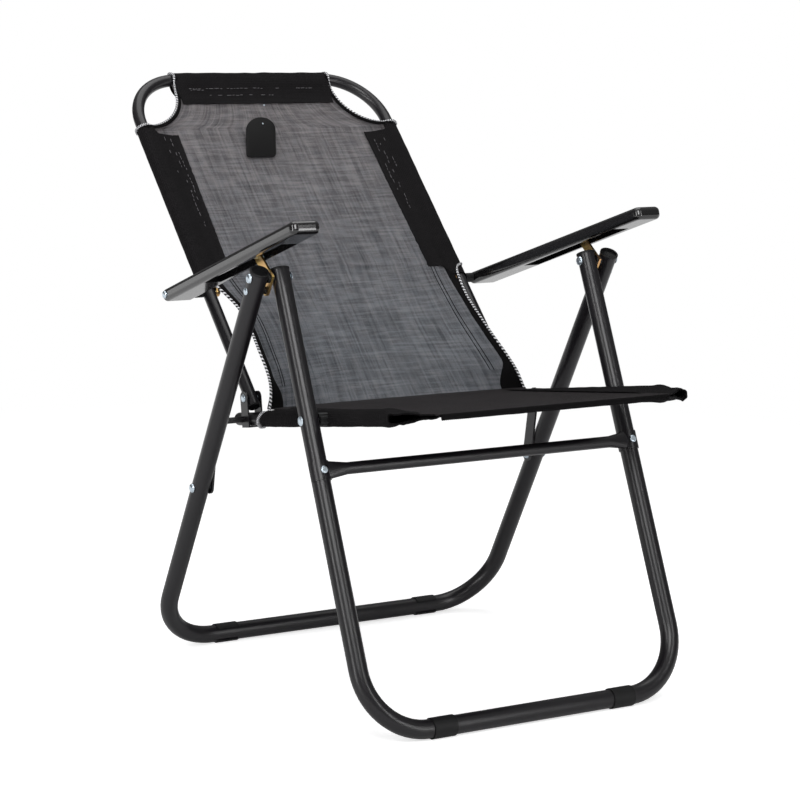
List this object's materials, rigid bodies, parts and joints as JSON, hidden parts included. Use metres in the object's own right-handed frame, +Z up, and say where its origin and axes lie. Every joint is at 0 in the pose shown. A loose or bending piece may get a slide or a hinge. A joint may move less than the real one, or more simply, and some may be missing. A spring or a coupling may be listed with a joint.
{
  "type": "camping armchair",
  "caption": "Folding reclining camp armchair: two crossed U leg frames, hinged seat rails and back, notched armrests, mesh cloth seat.",
  "frame": {"origin": "on the floor under the middle of the chair's width and depth", "axes": "+Z up, -Y towards the front of the chair, X across it"},
  "size_m": [0.5868, 0.8616, 0.8151],
  "materials": {
    "frame_paint": "satin black powder coat",
    "black_nylon": "matte moulded",
    "armrest_gloss": "glossy",
    "bright_rivets": "bright zinc",
    "yellow_zinc": "yellow passivated zinc",
    "back_mesh_cloth": "grey slub mesh",
    "seat_mesh_cloth": "dark mesh",
    "black_fabric": "woven",
    "white_piping": "black and white cord",
    "black_leather": "smooth"
  },
  "bodies": {
    "rear_legs": {"rear_leg_frame": "frame_paint", "rear_leg_caps": "black_nylon", "rear_foot_clips": "black_nylon", "apex_bracket_left": "yellow_zinc", "apex_bracket_right": "yellow_zinc", "catch_pins": "bright_rivets", "apex_inner_washers": "black_nylon", "apex_outer_spacers": "black_nylon", "bracket_spacers": "black_nylon", "apex_rivets": "bright_rivets", "bracket_rivets": "bright_rivets", "link_pivot_rivets": "bright_rivets"},
    "front_legs": {"front_leg_frame": "frame_paint", "front_leg_caps": "black_nylon", "front_foot_clips": "black_nylon", "front_crossbar": "frame_paint", "crossbar_rivets": "bright_rivets", "seat_pivot_rivets": "bright_rivets", "seat_pivot_spacers": "black_nylon"},
    "seat": {"seat_rail_left": "frame_paint", "seat_rail_right": "frame_paint", "seat_rail_front_plugs": "black_nylon", "seat_rail_rear_plugs": "black_nylon", "rear_cross_rod": "frame_paint", "back_saddle_left": "frame_paint", "back_saddle_right": "frame_paint", "seat_mesh": "seat_mesh_cloth", "seat_sleeve_left": "black_fabric", "seat_sleeve_right": "black_fabric"},
    "side_links": {"side_link_left": "frame_paint", "side_link_right": "frame_paint", "link_studs": "bright_rivets"},
    "back_pins": {"back_pivot_rivets": "bright_rivets", "lumbar_mesh": "back_mesh_cloth"},
    "back": {"back_frame": "frame_paint", "back_tube_plugs": "black_nylon", "back_mesh": "back_mesh_cloth", "back_top_sleeve": "black_fabric", "back_sleeve_left": "black_fabric", "back_sleeve_right": "black_fabric", "leather_patch": "black_leather"},
    "armrest_pins": {"armrest_pivot_bolts": "bright_rivets", "armrest_pivot_nuts": "yellow_zinc", "armrest_spacers": "black_nylon"},
    "armrests": {"armrest_left": "armrest_gloss", "armrest_right": "armrest_gloss"}
  },
  "joints": [
    {"name": "fold", "type": "hinge", "parent": "rear_legs", "child": "front_legs", "pos_m": [0, -0.14004, 0.5705], "axis": [1, 0, 0], "range_deg": [0, 50]},
    {"name": "seat_swing", "type": "hinge", "parent": "front_legs", "child": "seat", "pos_m": [0, -0.21831, 0.39299], "axis": [1, 0, 0], "range_deg": [-83.7, 0.1]},
    {"name": "link_swing", "type": "hinge", "parent": "rear_legs", "child": "side_links", "pos_m": [0, 0.02765, 0.26397], "axis": [1, 0, 0], "range_deg": [-115.3, 0.1]},
    {"name": "back_pin_turn", "type": "hinge", "parent": "seat", "child": "back_pins", "pos_m": [0, 0.00946, 0.38646], "axis": [1, 0, 0], "range_deg": [-0.1, 84.1]},
    {"name": "recline", "type": "hinge", "parent": "back_pins", "child": "back", "pos_m": [0, 0.00946, 0.38646], "axis": [1, 0, 0], "range_deg": [-13.5, 12.5], "deforming": ["lumbar_mesh"]},
    {"name": "armrest_pin_turn", "type": "hinge", "parent": "back", "child": "armrest_pins", "pos_m": [0, 0.13913, 0.51841], "axis": [1, 0, 0], "range_deg": [-78.1, 0.1]},
    {"name": "armrest_tilt", "type": "hinge", "parent": "armrest_pins", "child": "armrests", "pos_m": [0, 0.13913, 0.51841], "axis": [1, 0, 0], "range_deg": [-8.9, 9.6]}
  ],
  "couplings": [
    {"joint": "seat_swing", "follows": "fold", "ratio": -1.672},
    {"joint": "link_swing", "follows": "fold", "ratio": -2.303},
    {"joint": "back_pin_turn", "follows": "fold", "ratio": 1.68},
    {"joint": "armrest_pin_turn", "follows": "fold", "ratio": -1.56},
    {"joint": "armrest_tilt", "follows": "recline", "ratio": -0.7}
  ]
}
